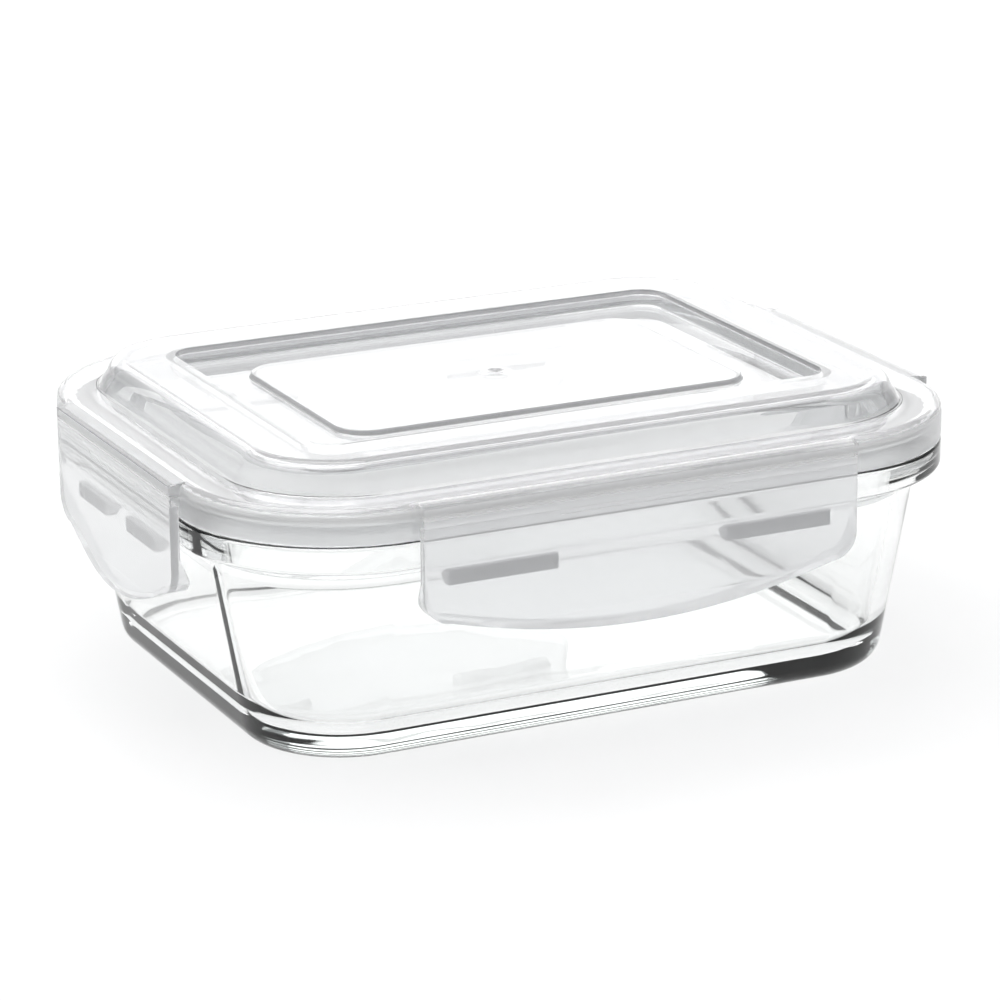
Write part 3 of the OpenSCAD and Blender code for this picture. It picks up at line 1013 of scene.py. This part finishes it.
def model_web(latch, side):
    """The thin web of a living hinge, with a groove where it bends and enough rows to bend smoothly."""
    width, low, high, out, inner = side_box(side, "living_hinge")
    half = width / 2
    top_of_latch = low + latch.step_drop
    step = latch.step / 2 * width / side_box("front", "living_hinge")[0]
    right = [
        (half, high),
        (half, top_of_latch),
        (step + latch.step_drop, top_of_latch),
        (step, low),
    ]
    outline = right + [(-x, z) for x, z in reversed(right)]
    bm = bmesh.new()
    face = bm.faces.new([bm.verts.new((x, inner, z)) for x, z in outline])
    grown = bmesh.ops.extrude_face_region(bm, geom=[face])["geom"]
    bmesh.ops.translate(
        bm, verts=[v for v in grown if isinstance(v, bmesh.types.BMVert)], vec=(0, out - inner, 0)
    )
    for i in range(1, HINGE_ROWS):
        bmesh.ops.bisect_plane(
            bm,
            geom=bm.verts[:] + bm.edges[:] + bm.faces[:],
            plane_co=(0, 0, low + (high - low) * i / HINGE_ROWS),
            plane_no=(0, 0, 1),
        )
    waist = (high + top_of_latch) / 2
    for vert in bm.verts:
        if vert.co.y > out + NUDGE:
            near = max(0.0, 1 - abs(vert.co.z - waist) / latch.waist_reach)
            vert.co.y -= latch.waist_depth * near
    to_side(bm, side)
    return bm


# ---------------------------------------------------------------- operators


class CONTAINER_OT_dish(bpy.types.Operator):
    """Model the pressed glass dish"""

    bl_idname = "container.dish"
    bl_label = "Glass dish"

    def execute(self, context):
        piece(model_dish(context.scene.container_dish), "glass_dish", "glass", "dish", "dish")
        return {"FINISHED"}


class CONTAINER_OT_lid(bpy.types.Operator):
    """Model the clear lid with its dome, its pad and its hinge ledges"""

    bl_idname = "container.lid"
    bl_label = "Clear lid"

    def execute(self, context):
        scene = context.scene
        bm = model_lid(scene.container_lid, scene.container_dish.corner_radius)
        piece(bm, "clear_lid", "clear_plastic", "lid", "lid")
        return {"FINISHED"}


class CONTAINER_OT_seal(bpy.types.Operator):
    """Model the silicone seal"""

    bl_idname = "container.seal"
    bl_label = "Silicone seal"

    def execute(self, context):
        scene = context.scene
        plug_depth = scene.container_lid.plug_depth
        bm = model_seal(scene.container_seal, plug_depth, scene.container_dish.corner_radius)
        piece(bm, "silicone_seal", "silicone", "seal", "lid")
        return {"FINISHED"}


class CONTAINER_OT_latches(bpy.types.Operator):
    """Model the four latch plates and their lugs"""

    bl_idname = "container.latches"
    bl_label = "Latches"

    def execute(self, context):
        latch = context.scene.container_latch
        for side in SIDES:
            body = f"{side}_latch"
            piece(model_latch(latch, side), f"{side}_latch_plate", "latch_plastic", body, body)
            piece(model_lugs(latch, side), f"{side}_latch_lugs", "lug_plastic", f"{side}_lugs", body)
        return {"FINISHED"}


class CONTAINER_OT_living_hinges(bpy.types.Operator):
    """Model the four living hinges, which bend between the lid and the latches"""

    bl_idname = "container.living_hinges"
    bl_label = "Living hinges"

    def execute(self, context):
        latch = context.scene.container_latch
        for side in SIDES:
            obj = piece(
                model_web(latch, side), f"{side}_hinge_web", "latch_plastic", f"{side}_living_hinge"
            )
            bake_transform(obj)
        return {"FINISHED"}


class CONTAINER_OT_stage(bpy.types.Operator):
    """Set the pale floor, the soft studio light and the camera"""

    bl_idname = "container.stage"
    bl_label = "Stage"

    def execute(self, context):
        stage = context.scene.container_stage
        lay_floor(stage)
        light_room(context.scene, stage)
        place_camera(context.scene, stage)
        return {"FINISHED"}


def lay_floor(stage):
    """A large pale floor with a fine, faint unevenness."""
    bm = bmesh.new()
    bmesh.ops.create_grid(bm, x_segments=1, y_segments=1, size=stage.floor_size / 2)
    bmesh.ops.translate(bm, verts=bm.verts, vec=(0, 0, -FLOOR_GAP))
    mesh = bpy.data.meshes.new("pale_floor")
    bm.to_mesh(mesh)
    bm.free()
    floor = bpy.data.objects.new("pale_floor", mesh)
    bpy.context.scene.collection.objects.link(floor)
    material, graph = new_graph("pale_paper")
    fibres = noise(graph, object_point(graph), 300.0, detail=3.0)
    surface = graph.node(
        "ShaderNodeBsdfPrincipled", Base_Color=stage.floor_colour, Roughness=fibres * 0.1 + 0.75
    )
    finish_material(graph, surface)
    mesh.materials.append(material)


def light_room(scene, stage):
    """A sky that is bright overhead and grey at the sides, a broad light overhead and a softbox behind."""
    world = bpy.data.worlds.new("studio")
    world.use_nodes = True
    scene.world = world
    graph = Graph(world.node_tree)
    height = upward(graph, graph.node("ShaderNodeTexCoord", output="Generated"))
    stops = [(0.06, stage.wall), (0.14, stage.horizon), (0.42, stage.horizon), (0.75, stage.sky)]
    sky = graph.node("ShaderNodeValToRGB", {"stops": stops}, Fac=height)
    background = graph.node("ShaderNodeBackground", Color=sky, Strength=1.0)
    graph.node("ShaderNodeOutputWorld", Surface=background)
    sun = bpy.data.lights.new("top_light", "SUN")
    sun.energy = stage.top_light
    sun.angle = stage.top_spread
    sun_object = bpy.data.objects.new("top_light", sun)
    sun_object.rotation_euler = (math.radians(-12), math.radians(-10), 0)
    scene.collection.objects.link(sun_object)
    softbox = bpy.data.lights.new("back_softbox", "AREA")
    softbox.shape = "RECTANGLE"
    softbox.size = stage.back_width
    softbox.size_y = stage.back_height
    softbox.energy = stage.back_light
    softbox_object = bpy.data.objects.new("back_softbox", softbox)
    softbox_object.location = (0.74, 1.52, 0.62)
    softbox_object.rotation_euler = (math.radians(70), 0, math.radians(154))
    scene.collection.objects.link(softbox_object)
    scene.view_settings.view_transform = "Standard"
    scene.cycles.max_bounces = 32
    scene.cycles.transmission_bounces = 32
    scene.cycles.transparent_max_bounces = 32


def place_camera(scene, stage):
    """The camera, turned and placed round its target."""
    back = Vector(
        (
            math.sin(stage.azimuth) * math.cos(stage.elevation),
            -math.cos(stage.azimuth) * math.cos(stage.elevation),
            math.sin(stage.elevation),
        )
    )
    data = bpy.data.cameras.new("camera")
    data.lens = stage.lens
    data.sensor_width = SENSOR_WIDTH
    camera = bpy.data.objects.new("camera", data)
    camera.rotation_mode = "QUATERNION"
    look = (-back).to_track_quat("-Z", "Y").to_matrix()
    camera.rotation_quaternion = (look @ Matrix.Rotation(stage.roll, 3, "Z")).to_quaternion()
    camera.location = Vector(stage.target) + back * stage.distance
    scene.collection.objects.link(camera)
    scene.camera = camera


class CONTAINER_PT_panel(bpy.types.Panel):
    """Lists the container's pieces"""

    bl_idname = "CONTAINER_PT_panel"
    bl_label = "Snap lid container"
    bl_space_type = "VIEW_3D"
    bl_region_type = "UI"
    bl_category = "Container"

    def draw(self, context):
        for operator in OPERATORS:
            self.layout.operator(operator.bl_idname)
        for name in GROUPS:
            box = self.layout.box()
            group = getattr(context.scene, name)
            for key in group.bl_rna.properties.keys():
                if key not in ("rna_type", "name"):
                    box.prop(group, key)


OPERATORS = (
    CONTAINER_OT_dish,
    CONTAINER_OT_lid,
    CONTAINER_OT_seal,
    CONTAINER_OT_latches,
    CONTAINER_OT_living_hinges,
    CONTAINER_OT_stage,
)
GROUPS = {
    "container_dish": DishSizes,
    "container_lid": LidSizes,
    "container_seal": SealSizes,
    "container_latch": LatchSizes,
    "container_finishes": Finishes,
    "container_stage": StageSettings,
}


def register():
    """Registers every class and hangs the property groups on the scene."""
    for name, group in GROUPS.items():
        bpy.utils.register_class(group)
        setattr(bpy.types.Scene, name, bpy.props.PointerProperty(type=group))
    for cls in (*OPERATORS, CONTAINER_PT_panel):
        bpy.utils.register_class(cls)


def unregister():
    """Takes every class and property off again."""
    for cls in (CONTAINER_PT_panel, *reversed(OPERATORS)):
        bpy.utils.unregister_class(cls)
    for name, group in reversed(GROUPS.items()):
        delattr(bpy.types.Scene, name)
        bpy.utils.unregister_class(group)


def main():
    """Makes every piece and the stage."""
    register()
    bpy.ops.container.dish()
    bpy.ops.container.lid()
    bpy.ops.container.seal()
    bpy.ops.container.latches()
    bpy.ops.container.living_hinges()
    bpy.ops.container.stage()


if __name__ == "__main__":
    main()
